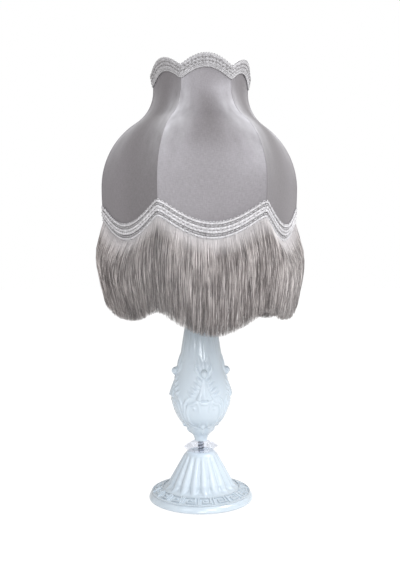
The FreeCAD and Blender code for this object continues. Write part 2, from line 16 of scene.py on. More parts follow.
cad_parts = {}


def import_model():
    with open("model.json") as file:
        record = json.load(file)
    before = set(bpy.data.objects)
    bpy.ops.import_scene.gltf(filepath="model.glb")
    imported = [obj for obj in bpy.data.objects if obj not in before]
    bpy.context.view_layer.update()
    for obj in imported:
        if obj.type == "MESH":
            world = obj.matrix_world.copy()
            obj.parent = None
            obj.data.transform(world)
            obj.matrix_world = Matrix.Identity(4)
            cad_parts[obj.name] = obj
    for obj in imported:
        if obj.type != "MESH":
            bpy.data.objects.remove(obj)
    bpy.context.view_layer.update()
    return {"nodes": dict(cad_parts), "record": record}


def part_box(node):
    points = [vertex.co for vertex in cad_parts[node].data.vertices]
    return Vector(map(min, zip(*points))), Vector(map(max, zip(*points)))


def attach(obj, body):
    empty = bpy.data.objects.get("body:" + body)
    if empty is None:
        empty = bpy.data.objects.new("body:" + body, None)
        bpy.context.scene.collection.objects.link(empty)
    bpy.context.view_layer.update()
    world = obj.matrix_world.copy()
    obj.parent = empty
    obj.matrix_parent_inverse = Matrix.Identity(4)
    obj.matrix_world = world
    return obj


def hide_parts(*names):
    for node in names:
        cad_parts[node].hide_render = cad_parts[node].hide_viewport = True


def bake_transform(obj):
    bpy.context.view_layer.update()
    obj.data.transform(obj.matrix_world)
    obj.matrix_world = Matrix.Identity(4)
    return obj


log = logging.getLogger("candle_lamp")
MM = 0.001
SIDES = 6
SIDE_TURN = 2 * math.pi / SIDES
FRONT = -math.pi / 2
# How far light wanders under the skin of moulded plastic and of wax
GLOW_DEPTH = 3 * MM
# The least angle at which an edge shows as sharp
SHARP = math.radians(40)
# How near points lie that are merged
WELD = 0.01 * MM
# The golden section, which scatters the strands' places in their UV map
GOLDEN = 0.61803

Place = Callable[[float, float], Vector]


class Body(Enum):
    """The moving groups that the scene's own pieces ride on, as the frame names them."""

    STICK = "stick"
    INSERT = "insert"
    CANDLE = "candle_set"
    SHADE = "shade"


# Node trees


class Tree:
    """The node tree of a material or a world, with short calls for its nodes and links."""

    def __init__(self, name: str, world: bool = False) -> None:
        """Starts an empty material or world.

        Args:
            name: Its name.
            world: True for a world.
        """
        self.owner = (bpy.data.worlds if world else bpy.data.materials).new(name)
        self.owner.use_nodes = True
        self.nodes = self.owner.node_tree.nodes
        self.links = self.owner.node_tree.links
        self.nodes.clear()
        self.output = self.add("OutputWorld" if world else "OutputMaterial")

    def add(self, kind: str, **values: object) -> Node:
        """Adds a node and sets its inputs by name.

        Args:
            kind: Blender's name for the node, without the ShaderNode in front.
            **values: A number, colour or socket for each input.

        Returns:
            The new node.
        """
        node = self.nodes.new("ShaderNode" + kind)
        for key, value in values.items():
            self.put(value, node.inputs[key.replace("_", " ")])
        return node

    def put(self, value: object, spot: NodeSocket) -> None:
        """Links a socket to an input, or sets the input to a number or colour.

        Args:
            value: The socket, number or colour.
            spot: The input.
        """
        if isinstance(value, NodeSocket):
            self.links.new(value, spot)
        else:
            spot.default_value = value

    def math(self, operation: str, first: object, second: object = 0.0) -> NodeSocket:
        """Adds a calculation with two numbers or sockets.

        Args:
            operation: The name of the operation, such as MULTIPLY.
            first: The first number or socket.
            second: The second number or socket.

        Returns:
            The result's socket.
        """
        node = self.add("Math")
        node.operation = operation
        for spot, value in zip(node.inputs, (first, second)):
            self.put(value, spot)
        return node.outputs[0]

    def total(self, first: NodeSocket, first_share: float, second: NodeSocket,
              second_share: float) -> NodeSocket:
        """The sum of two patterns, each times its share."""
        return self.math("ADD", self.math("MULTIPLY", first, first_share),
                         self.math("MULTIPLY", second, second_share))

    def coords(self, source: str) -> NodeSocket:
        """A point's own coordinates: Object, or UV for the piece's map."""
        return self.add("TexCoord").outputs[source]

    def scaled(self, x: float, y: float, z: float, source: str = "Object") -> NodeSocket:
        """Object coordinates, or the piece's UV map, stretched along each axis.

        Args:
            x: Factor along X.
            y: Factor along Y.
            z: Factor along Z.
            source: Object or UV.

        Returns:
            The vector's socket.
        """
        return self.add("Mapping", Vector=self.coords(source), Scale=(x, y, z)).outputs[0]

    def noise(self, scale: float, vector: NodeSocket, detail: float) -> NodeSocket:
        """Adds a noise pattern.

        Args:
            scale: Repeats in each unit of the coordinates.
            vector: The coordinates to read.
            detail: How many finer layers the noise has.

        Returns:
            The pattern's value socket.
        """
        return self.add("TexNoise", Scale=scale, Vector=vector, Detail=detail).outputs["Fac"]

    def ramp(self, value: NodeSocket, stops: Iterable[tuple]) -> NodeSocket:
        """Turns a value into a colour.

        Args:
            value: The value to read.
            stops: A place from 0 to 1 and a colour for each stop.

        Returns:
            The colour's socket.
        """
        stops = list(stops)
        node = self.add("ValToRGB", Fac=value)
        while len(node.color_ramp.elements) < len(stops):
            node.color_ramp.elements.new(0.5)
        for element, (place, color) in zip(node.color_ramp.elements, stops):
            element.position = place
            element.color = (*color, 1)
        return node.outputs["Color"]

    def bump(self, height: NodeSocket, depth: float, strength: float) -> NodeSocket:
        """Adds a bump of a real depth.

        Args:
            height: The pattern, from 0 to 1.
            depth: How deep the pattern is, in metres.
            strength: How much of it shows.

        Returns:
            The normal's socket.
        """
        return self.add("Bump", Height=height, Distance=depth, Strength=strength).outputs[0]

    def seen(self) -> NodeSocket:
        """1 for rays from the camera and through clear pieces, and 0 for all others."""
        rays = self.add("LightPath").outputs
        return self.math("MAXIMUM", rays["Is Camera Ray"], rays["Is Transmission Ray"])

    def mix(self, share: NodeSocket, first: Node, second: Node) -> Node:
        """Mixes two shaders.

        Args:
            share: 0 for the first and 1 for the second.
            first: A shader node.
            second: The other one.

        Returns:
            The mixing node.
        """
        node = self.add("MixShader", Fac=share)
        self.put(first.outputs[0], node.inputs[1])
        self.put(second.outputs[0], node.inputs[2])
        return node

    def finish(self, shader: Node) -> Material | World:
        """Joins a shader to the output.

        Args:
            shader: The shader node.

        Returns:
            The finished material or world.
        """
        self.put(shader.outputs[0], self.output.inputs["Surface"])
        return self.owner


# Finishes


@dataclass(frozen=True)
class Coat:
    """A finish with a faint mottle in its colour and surface: plastic, paint, wax, felt, cotton or cloth."""

    name: str
    low: tuple
    high: tuple
    roughness: float
    scale: float
    depth: float
    show: float = 0.6
    detail: float = 4
    stretch: float = 1
    uneven: float = 0
    soft: float = 0
    glow: tuple = (1, 0.2, 0.1)
    gloss: float = 0
    gloss_roughness: float = 0.08
    metallic: float = 0
    stops: tuple = (0.3, 0.7)

    def build(self) -> Material:
        """Builds the finish."""
        tree = Tree(self.name)
        mottle = tree.noise(self.scale, tree.scaled(1, 1, self.stretch), self.detail)
        rough = self.roughness
        if self.uneven:
            rough = tree.math("ADD", tree.math("MULTIPLY", mottle, self.uneven), rough)
        return tree.finish(tree.add(
            "BsdfPrincipled", Base_Color=tree.ramp(mottle, zip(self.stops, (self.low, self.high))),
            Normal=tree.bump(mottle, self.depth, self.show), Roughness=rough, Metallic=self.metallic,
            Coat_Weight=self.gloss, Coat_Roughness=self.gloss_roughness,
            Subsurface_Weight=self.soft, Subsurface_Radius=self.glow, Subsurface_Scale=GLOW_DEPTH,
        ))


@dataclass(frozen=True)
class Metal(Coat):
    """Plated metal with a fine uneven sheen."""

    scale: float = 220
    depth: float = 0.00004
    show: float = 0.4
    stretch: float = 0.2
    uneven: float = 0.12
    metallic: float = 1


@dataclass(frozen=True)
class ClearGloss:
    """Clear moulded acrylic with polished facets."""

    name: str = "clear_knop"
    color: tuple = (0.95, 0.96, 0.995)
    roughness: float = 0.03
    ior: float = 1.49
    clarity: float = 0.7

    def build(self) -> Material:
        """Builds the finish."""
        tree = Tree(self.name)
        haze = tree.noise(60, tree.scaled(1, 1, 1), 2)
        shader = tree.add(
            "BsdfPrincipled", Base_Color=(*self.color, 1), Normal=tree.bump(haze, 0.00004, 0.2),
            Roughness=self.roughness, IOR=self.ior, Transmission_Weight=1.0,
        )
        clear = tree.add("BsdfTransparent", Color=(*self.color, 1))
        shadow = tree.add("LightPath").outputs["Is Shadow Ray"]
        return tree.finish(tree.mix(tree.math("MAXIMUM", shadow, self.clarity), shader, clear))


@dataclass(frozen=True)
class Satin:
    """Silver grey satin: fine vertical yarns, a soft sheen, slight slubs and painted highlights at the
    shoulders, beside the seams.
    """

    name: str = "satin"
    low: tuple = (0.163, 0.151, 0.157)
    high: tuple = (0.236, 0.219, 0.231)
    # The colour of the painted highlight at the shoulders
    painted_highlight: tuple = (0.62, 0.61, 0.64)
    roughness: float = 0.34
    yarns: float = 900
    yarn_map: tuple = (0.14, 0.04, 1)
    weft_map: tuple = (0.03, 0.22, 1)
    cloud_map: tuple = (1, 1, 0.4)
    fibre_share: float = 0.55
    cloud_share: float = 0.45
    stops: tuple = (0.38, 0.62)
    # Where the painted highlight lies: the height of its band on the panel, its spread, and how it gathers
    # beside the seams and about the band
    highlight_height: float = 0.64
    highlight_spread: float = 0.15
    highlight_edge_power: float = 1.8
    highlight_band_power: float = 2.5

    def build(self) -> Material:
        """Builds the finish from the panel's own UV map, whose U runs across and V runs up."""
        tree = Tree(self.name)
        yarn = tree.noise(self.yarns, tree.scaled(*self.yarn_map, "UV"), 2)
        weft = tree.noise(self.yarns, tree.scaled(*self.weft_map, "UV"), 2)
        cloud = tree.noise(9, tree.scaled(*self.cloud_map), 3)
        fibre = tree.total(yarn, 0.5, weft, 0.5)
        shade = tree.total(fibre, self.fibre_share, cloud, self.cloud_share)
        tint = tree.ramp(shade, zip(self.stops, (self.low, self.high)))
        rough = tree.math("ADD", tree.math("MULTIPLY", cloud, 0.3), self.roughness)
        return tree.finish(tree.add(
            "BsdfPrincipled", Base_Color=self.paint_shoulder_highlight(tree, tint), Normal=tree.bump(fibre, 0.0001, 0.35),
            Roughness=rough, Metallic=0.3, Specular_IOR_Level=0.6, Sheen_Weight=0.12, Sheen_Roughness=0.35,
        ))

    def paint_shoulder_highlight(self, tree: Tree, tint: NodeSocket) -> NodeSocket:
        """Paints a highlight into the satin's colour where it turns at the shoulders, beside the seams.

        Args:
            tree: The material's nodes.
            tint: The satin's colour.

        Returns:
            The lit colour's socket.
        """
        split = tree.add("SeparateXYZ", Vector=tree.coords("UV"))
        off = tree.math("ABSOLUTE", tree.math("SUBTRACT", split.outputs["X"], 0.5))
        edge = tree.math("POWER", tree.math("MULTIPLY", off, 2.1), self.highlight_edge_power)
        rise = tree.math("DIVIDE", tree.math("SUBTRACT", split.outputs["Y"], self.highlight_height), self.highlight_spread)
        far = tree.math("POWER", tree.math("ABSOLUTE", rise), self.highlight_band_power)
        band = tree.math("DIVIDE", 1.0, tree.math("ADD", 1.0, far))
        highlight_patch = tree.noise(7, tree.scaled(1, 1, 0.3, "UV"), 2)
        share = tree.math("MULTIPLY", tree.math("MULTIPLY", edge, band), tree.math("MULTIPLY", highlight_patch, 1.5))
        # Painted highlight: the satin's colour turns lighter in a band at the shoulders, beside the seams
        return tree.add("MixRGB", Fac=share, Color1=tint, Color2=(*self.painted_highlight, 1)).outputs["Color"]


@dataclass(frozen=True)
class Thread:
    """Spun thread: a colour that changes from strand to strand and along each strand, with painted shade
    towards each rib where the fringe parts.
    """

    name: str
    dark: tuple
    mid: tuple
    light: tuple
    root: tuple
    root_reach: float = 0.0001
    strands: float = 40
    beat: float = 700
    # How much painted shade darkens the strands below each rib, where the sides' curtains part, and the share
    # of a side that it covers
    parting: float = 0
    rib_shade_width: float = 0.06
    fine_share: float = 0.8
    broad_share: float = 0.2
    stops: tuple = (0.36, 0.49, 0.62)
    roughness: float = 0.5

    def build(self) -> Material:
        """Builds the finish from the strands' UV map: U is the strand and V runs from root to tip."""
        tree = Tree(self.name)
        split = tree.add("SeparateXYZ", Vector=tree.coords("UV"))
        fine = tree.noise(1, tree.scaled(self.strands, self.beat, 1, "UV"), 3)
        broad = tree.noise(1, tree.scaled(self.strands / 8, self.beat / 2, 1, "UV"), 1)
        tone = tree.total(fine, self.fine_share, broad, self.broad_share)
        # Painted shade: the tone drops towards each rib, where the curtains part
        side = tree.math("FRACT", tree.math("MULTIPLY", split.outputs["X"], float(SIDES)))
        off = tree.math("DIVIDE", tree.math("ABSOLUTE", tree.math("SUBTRACT", side, 0.5)), self.rib_shade_width)
        edge = tree.math("MAXIMUM", tree.math("SUBTRACT", 1.0, off), 0.0)
        tone = tree.math("SUBTRACT", tone, tree.math("MULTIPLY", edge, self.parting))
        body = tree.ramp(tone, zip(self.stops, (self.dark, self.mid, self.light)))
        fade = tree.add("MapRange", Value=split.outputs["Y"], From_Max=self.root_reach)
        color = tree.add("MixRGB", Fac=fade.outputs["Result"], Color1=(*self.root, 1), Color2=body)
        return tree.finish(tree.add(
            "BsdfPrincipled", Base_Color=color.outputs["Color"], Roughness=self.roughness,
            Sheen_Weight=0.3, Sheen_Roughness=0.4,
        ))


# Mesh helpers


def pick(*pieces: Object) -> None:
    """Selects these pieces alone, or nothing, so that an operator acts on them and on no others."""
    for item in bpy.context.selected_objects:
        item.select_set(False)
    for piece in pieces:
        piece.select_set(True)
        bpy.context.view_layer.objects.active = pieces[0]


def smooth(piece: Object) -> None:
    """Shades a piece smooth except at its sharp edges."""
    pick(piece)
    bpy.ops.object.shade_smooth_by_angle(angle=SHARP)


def apply(piece: Object, kind: str, **values: object) -> None:
    """Adds a modifier and applies it.

    Args:
        piece: The piece that it changes.
        kind: Blender's name for the modifier.
        **values: The modifier's settings.
    """
    pick(piece)
    modifier = piece.modifiers.new(kind.title(), kind)
    for key, value in values.items():
        setattr(modifier, key, value)
    bpy.ops.object.modifier_apply(modifier=modifier.name)


def edit(piece: Object, step: Callable[[], object]) -> None:
    """Runs an edit-mode step on the whole of a piece.

    Args:
        piece: The piece to edit.
        step: What to run, with everything selected.
    """
    pick(piece)
    bpy.ops.object.mode_set(mode="EDIT")
    bpy.ops.mesh.select_all(action="SELECT")
    step()
    bpy.ops.object.mode_set(mode="OBJECT")


def weld(piece: Object) -> None:
    """Merges points that lie in the same place."""
    edit(piece, lambda: bpy.ops.mesh.remove_doubles(threshold=WELD))


def outward(piece: Object) -> None:
    """Turns a closed piece's faces outwards."""
    edit(piece, lambda: bpy.ops.mesh.normals_make_consistent(inside=False))


def joined(name: str, parts: Sequence[Object]) -> Object:
    """Joins several pieces into one.

    Args:
        name: The joined piece's name.
        parts: The pieces.

    Returns:
        The joined piece.
    """
    pick(*parts)
    bpy.ops.object.join()
    piece = bpy.context.view_layer.objects.active
    piece.name = name
    return piece


def new_piece(name: str, mesh: Mesh) -> Object:
    """A piece that holds a mesh, in the scene."""
    piece = bpy.data.objects.new(name, mesh)
    bpy.context.collection.objects.link(piece)
    return piece


def copy_of(name: str, node: Object) -> Object:
    """A new piece with a copy of a CAD node's mesh, in its place."""
    mesh = node.data.copy()
    mesh.transform(node.matrix_world)
    return new_piece(name, mesh)


def sheet_grid(name: str, place: Place, columns: int, rows: int) -> Object:
    """A grid laid on a surface.

    Args:
        name: The piece's name.
        place: The surface's point for across and up, each from 0 to 1.
        columns: Faces across.
        rows: Faces up.

    Returns:
        The piece, with the grid's own UV map.
    """
    pick()
    bpy.ops.mesh.primitive_grid_add(x_subdivisions=columns, y_subdivisions=rows, size=1, calc_uvs=True)
    piece = bpy.context.view_layer.objects.active
    piece.name = name
    for vertex in piece.data.vertices:
        vertex.co = place(vertex.co.x + 0.5, vertex.co.y + 0.5)
    return piece


def strands(name: str, paths: Sequence[Sequence[Vector]], widths: Sequence[Sequence[float]], sides: int,
            closed: bool = False, marks: Sequence[float] = ()) -> Object:
    """Thin tubes along many paths, as one piece.

    Args:
        name: The piece's name.
        paths: Each strand's points.
        widths: Each strand's radius at its points.
        sides: Corners of the tube's section.
        closed: True where each path runs round to its own start.
        marks: Each strand's place across the UV map, where it isn't scattered.

    Returns:
        The piece, whose UV map holds the strand's place across and the way along it up.
    """
    spots = []
    faces = []
    coords = []
    for number, (path, radii) in enumerate(zip(paths, widths)):
        base = len(spots)
        last = len(path) - 1
        for i, point in enumerate(path):
            before = path[i - 1] if i or closed else path[i]
            after = path[(i + 1) % len(path)] if i < last or closed else path[i]
            ahead = (after - before).normalized()
            outer = Vector((point.x, point.y, 0)).normalized()
            side = ahead.cross(outer).normalized()
            lift = side.cross(ahead)
            for corner in range(sides):
                turn = 2 * math.pi * corner / sides
                spots.append(point + (side * math.cos(turn) + lift * math.sin(turn)) * radii[i])
        steps = len(path) if closed else last
        across = marks[number] if marks else (number * GOLDEN) % 1
        for i in range(steps):
            here = base + i * sides
            there = base + (i + 1) % len(path) * sides
            low, high = i / steps, (i + 1) / steps
            for corner in range(sides):
                following = (corner + 1) % sides
                faces.append((here + corner, here + following, there + following, there + corner))
                coords.extend(((across, low), (across, low), (across, high), (across, high)))
        if not closed:
            for end, ring in ((0, reversed(range(sides))), (1, range(sides))):
                faces.append(tuple(base + end * last * sides + corner for corner in ring))
                coords.extend([(across, float(end))] * sides)
    mesh = bpy.data.meshes.new(name)
    mesh.from_pydata(spots, [], faces)
    layer = mesh.uv_layers.new(name="UVMap")
    layer.data.foreach_set("uv", [value for pair in coords for value in pair])
    mesh.polygons.foreach_set("use_smooth", [True] * len(mesh.polygons))
    return new_piece(name, mesh)


def coat(piece: Object, material: Material) -> None:
    """Gives a piece one material in place of those it has."""
    piece.data.materials.clear()
    piece.data.materials.append(material)


def dress(piece: Object, material: Material, body: Body, slot: str, *nodes: str) -> None:
    """Gives a piece its material and its body, and hides the CAD nodes that it stands for.

    Args:
        piece: The piece.
        material: Its material.
        body: The body that it rides on.
        slot: The record's material slot; not used.
        *nodes: The CAD nodes that it replaces.
    """
    coat(piece, material)
    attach(piece, body.value)
    if nodes:
        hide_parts(*nodes)
    log.info("%s: %d faces on %s", piece.name, len(piece.data.polygons), body.value)


def polar(radius: float, bearing: float, height: float) -> Vector:
    """A point from its distance to the axis, its bearing and its height."""
    return Vector((radius * math.cos(bearing), radius * math.sin(bearing), height))


def eased(shares: Sequence[float], along: float) -> float:
    """The value at a place from 0 to 1 along a table of shares, smooth from each to the next.

    Args:
        shares: The table.
        along: The place.

    Returns:
        The value there.
    """
    last = len(shares) - 1
    place = min(max(along, 0), 1) * last
    step = min(int(place), last - 1)
    part = place - step
    before, here, there, after = (shares[min(max(step + i, 0), last)] for i in (-1, 0, 1, 2))
    curve = 2 * before - 5 * here + 4 * there - after + part * (3 * (here - there) + after - before)
    return here + part / 2 * (there - before + part * curve)


# Shade

BELLY_UNDER_FITTER = 22 * MM


@dataclass(frozen=True)
class ShadeForm:
    """The shade's outline, in metres, from the height of its belly."""

    belly_height: float
    neck_radius: float = 51.8 * MM
    belly_gain: float = 55.8 * MM
    neck_above_belly: float = 104 * MM
    top_above_neck: float = 18 * MM
    hem_below_belly: float = 36.5 * MM
    neck_curve: float = 41.5 * MM
    crown_curve: float = 75 * MM
    hem_curve: float = 300 * MM
    top_rise: float = 11 * MM
    hem_drop: float = 21.5 * MM
    corner_round: float = 0.07
    swell_shares: tuple = (0.36, 0.28, 0.08, -0.04, 0.02, 0.22, 0.36, 0.3, 0.2)

    @property
    def neck_height(self) -> float:
        """Height of the neck."""
        return self.belly_height + self.neck_above_belly

    @property
    def top_height(self) -> float:
        """Height of the top edge at a rib."""
        return self.neck_height + self.top_above_neck

    @property
    def hem_height(self) -> float:
        """Height of the hem at a rib."""
        return self.belly_height - self.hem_below_belly

    def rib_radius(self, height: float, inset: float = 0.0) -> float:
        """Distance from the axis to a rib's outline.

        Args:
            height: The height on the rib.
            inset: How far inside the satin's outer face.

        Returns:
            The radius.
        """
        belly_radius = self.neck_radius + self.belly_gain
        curves = math.hypot(self.belly_gain, self.neck_above_belly) ** 2 / (2 * self.belly_gain)
        turn = self.neck_height - self.neck_curve * self.neck_above_belly / curves
        if height > turn:
            round_off = self.crown_curve if height > self.neck_height else self.neck_curve
            curve = round_off + inset
            rise = abs(height - self.neck_height)
            return self.neck_radius + round_off - math.sqrt(curve ** 2 - rise ** 2)
        below = height <= self.belly_height
        curve = (self.hem_curve if below else curves - self.neck_curve) - inset
        return belly_radius - curve - inset + math.sqrt(curve ** 2 - (height - self.belly_height) ** 2)

    def swell(self, height: float) -> float:
        """How far a panel's middle stands out from flat towards round at a height."""
        lowest = self.hem_height - self.hem_drop
        highest = self.top_height + self.top_rise
        return eased(self.swell_shares, (height - lowest) / (highest - lowest))

    def point(self, across: float, height: float, inset: float = 0.0, out: float = 0.0) -> Vector:
        """A point of the front panel.

        Args:
            across: From -1 at one rib to 1 at the next.
            height: The point's height.
            inset: How far inside the satin's outer face.
            out: How far outside it.

        Returns:
            The point.
        """
        half = SIDE_TURN / 2
        rib = self.rib_radius(height, inset)
        flat = rib * math.cos(half) / math.cos(half * across)
        radius = flat + self.swell(height) * (rib - flat) + out
        return polar(radius, FRONT + half * across, height)

    def row(self, across: float, share: float) -> float:
        """Height of a scalloped row.

        Args:
            across: From -1 at one rib to 1 at the next.
            share: 0 at the hem and 1 at the top edge.

        Returns:
            The height.
        """
        lift = self.top_rise * share ** 3 - self.hem_drop * (1 - share) ** 3
        soft = self.corner_round
        inner = (math.hypot(1 - abs(across), soft) - soft) / (math.hypot(1, soft) - soft)
        return self.hem_height + (self.top_height - self.hem_height) * share + lift * inner * (2 - inner)


def turned(point: Vector, side: int) -> Vector:
    """A point of the front side, carried round to another side."""
    turn = SIDE_TURN * side
    cos, sin = math.cos(turn), math.sin(turn)
    return Vector((point.x * cos - point.y * sin, point.x * sin + point.y * cos, point.z))


@dataclass(frozen=True)
class BraidRow:
    """One row of a gimp braid: cords that wave about a line along the edge, with its sizes in millimetres."""

    middle: float
    waves: int
    cords: int
    sway: float
    radius: float
    stand: float = 0
    lift: float = 0.25
    steps: int = 8


@dataclass
class Shade:
    """The shade without its fringe: six satin panels, a lining, corded seams and two gimp braids."""

    form: ShadeForm
    satin: Material
    cloth: Material
    braid: Material
    tight_braid: Material
    # The dark finish of the braids' holes, with painted shade in it
    gap: Material
    panel_columns: int = 36
    panel_rows: int = 72
    lining_columns: int = 12
    lining_rows: int = 36
    satin_thickness: float = 0.8 * MM
    lining_inset: float = 4.7 * MM
    lining_thickness: float = 0.5 * MM
    lining_setback: float = 2 * MM
    seam_radius: float = 0.3 * MM
    seam_stand: float = 0.1 * MM
    seam_steps: int = 60
    seam_margin: int = 3
    braid_stand: float = 1.0 * MM
    hem_rows: tuple = (
        *(BraidRow(up, 24, 1, 0, 0.8, -0.3, 0, 3) for up in (0.9, 5.8, 7.1, 8.4, 9.7, 14.6)),
        BraidRow(16.0, 30, 1, 0.8, 0.32),
        BraidRow(14.5, 24, 3, 0.7, 0.42, 0.3),
        BraidRow(12.1, 21, 2, 0.7, 0.32),
        BraidRow(9.5, 24, 3, 0.95, 0.48, 0.5),
        BraidRow(6.2, 24, 3, 0.95, 0.48, 0.5),
        BraidRow(3.4, 21, 2, 0.7, 0.32),
        BraidRow(1.0, 24, 3, 0.7, 0.42, 0.3),
        BraidRow(-0.3, 30, 1, 0.7, 0.3),
    )
    top_rows: tuple = (
        *(BraidRow(down, 15, 1, 0, 0.9, -0.3, 0, 3) for down in (0.9, 2.6, 4.3, 6.0, 7.7, 9.4, 11.1, 12.6)),
        BraidRow(0.3, 20, 1, 0.7, 0.36),
        *(BraidRow(down, 15, 3, 1.5, 0.5, 0.4) for down in (2.6, 6.0, 9.4)),
        BraidRow(12.8, 20, 2, 0.7, 0.4, 0.1),
    )
    # Rows of dark dashes for the braids' holes, partly the darker satin seen through them and partly painted
    # shade: edge, distance from it, dashes in each side and distance out from the satin, in millimetres
    hole_shade_rows: tuple = (
        (0, 12.1, 24, 1.3), (0, 7.9, 24, 1.15), (0, 3.4, 24, 1.3), (1, 4.3, 15, 2.1), (1, 7.7, 15, 2.1),
    )
    hole_shade_radius: float = 0.5 * MM
    hole_shade_steps: int = 4

    def skin(self, name: str, side: int, setback: float, inset: float, columns: int, rows: int) -> Object:
        """A grid laid over one side of the shade.

        Args:
            name: The grid's name.
            side: The side, counted round from the front.
            setback: How far the grid stays inside the hem and the top edge.
            inset: How far inside the satin's outer face.
            columns: Faces across.
            rows: Faces up.

        Returns:
            The grid.
        """
        def place(x: float, y: float) -> Vector:
            across = x * 2 - 1
            height = self.form.row(across, y) + setback * (1 - 2 * y)
            return turned(self.form.point(across, height, inset), side)

        return sheet_grid(name, place, columns, rows)

    def make_panels(self) -> None:
        """Makes the six satin gores, each pulled taut between its ribs."""
        for side in range(SIDES):
            piece = self.skin(f"satin_panel_{side + 1}", side, 0, 0, self.panel_columns, self.panel_rows)
            apply(piece, "SOLIDIFY", thickness=self.satin_thickness, offset=-1)
            outward(piece)
            smooth(piece)
            dress(piece, self.satin, Body.SHADE, "satin", f"panel_{side + 1}")

    def make_lining(self) -> None:
        """Makes the inner skin of the shade."""
        piece = joined("lining_skin", [
            self.skin("lining_side", side, self.lining_setback, self.lining_inset,
                      self.lining_columns, self.lining_rows)
            for side in range(SIDES)
        ])
        weld(piece)
        outward(piece)
        apply(piece, "SOLIDIFY", thickness=self.lining_thickness, offset=-1)
        smooth(piece)
        dress(piece, self.cloth, Body.SHADE, "lining_cloth", "lining")

    def braid_path(self, edge: int, offset: Callable[[float], tuple], steps: int) -> list:
        """A closed path round the shade, at a distance from one of its edges.

        Args:
            edge: 0 for the hem and 1 for the top edge.
            offset: The distance up from the edge and out from the satin, for the way round from 0 to 1.
            steps: Points in each side.

        Returns:
            The path's points.
        """
        path = []
        for number in range(SIDES * steps):
            side, part = divmod(number, steps)
            across = part / steps * 2 - 1
            up, out = offset(number / (SIDES * steps))
            height = self.form.row(across, edge) + up
            path.append(turned(self.form.point(across, height, 0, out), side))
        return path

    def make_braid(self, name: str, edge: int, rows: Sequence[BraidRow], node: str,
                   material: Material) -> None:
        """Makes a gimp braid, row by row, of waved and looped cords.

        Args:
            name: The piece's name.
            edge: 0 for the hem and 1 for the top edge.
            rows: The braid's rows.
            node: The CAD node that it replaces.
            material: Its finish.
        """
        sign = 1 if edge == 0 else -1
        paths = []
        widths = []
        for row in rows:
            for cord in range(row.cords):
                def offset(way: float, row: BraidRow = row, cord: int = cord) -> tuple:
                    wave = (way * row.waves * SIDES + cord / row.cords) * 2 * math.pi
                    up = row.middle * MM + row.sway * MM * math.sin(wave)
                    return sign * up, self.braid_stand + row.stand * MM + row.lift * MM * math.cos(2 * wave)

                path = self.braid_path(edge, offset, row.waves * row.steps)
                paths.append(path)
                widths.append([row.radius * MM] * len(path))
        piece = strands(name, paths, widths, 4, closed=True)
        dress(piece, material, Body.SHADE, "braid", node)

    def make_hole_shade(self) -> None:
        """Makes the rows of small dark dashes between the braids' cords: the satin seen through the holes
        there, with painted shade.
        """
        width = (self.hole_shade_radius / 2, self.hole_shade_radius, self.hole_shade_radius / 2)
        paths = []
        for edge, middle, count, stand in self.hole_shade_rows:
            place = ((middle if edge == 0 else -middle) * MM, stand * MM)
            row = self.braid_path(edge, lambda way, place=place: place, count * self.hole_shade_steps)
            paths += [row[start:start + len(width)] for start in range(0, len(row), self.hole_shade_steps)]
        piece = strands("braid_gaps", paths, [width] * len(paths), 6)
        dress(piece, self.gap, Body.SHADE, "braid")

    def make_seams(self) -> None:
        """Makes the fine corded seam on each rib."""
        low, high = self.form.hem_height, self.form.top_height
        steps = range(self.seam_margin, self.seam_steps - self.seam_margin + 1)
        front = [
            self.form.point(1, low + (high - low) * i / self.seam_steps, 0, self.seam_stand) for i in steps
        ]
        paths = [[turned(point, side) for point in front] for side in range(SIDES)]
        piece = strands("rib_seams", paths, [[self.seam_radius] * len(front)] * SIDES, 6)
        dress(piece, self.satin, Body.SHADE, "satin")

    def make(self) -> None:
        """Makes every piece of the shade."""
        self.make_panels()
        self.make_lining()
        self.make_seams()
        self.make_braid("hem_gimp", 0, self.hem_rows, "hem_braid", self.braid)
        self.make_braid("top_gimp", 1, self.top_rows, "top_braid", self.tight_braid)
        self.make_hole_shade()


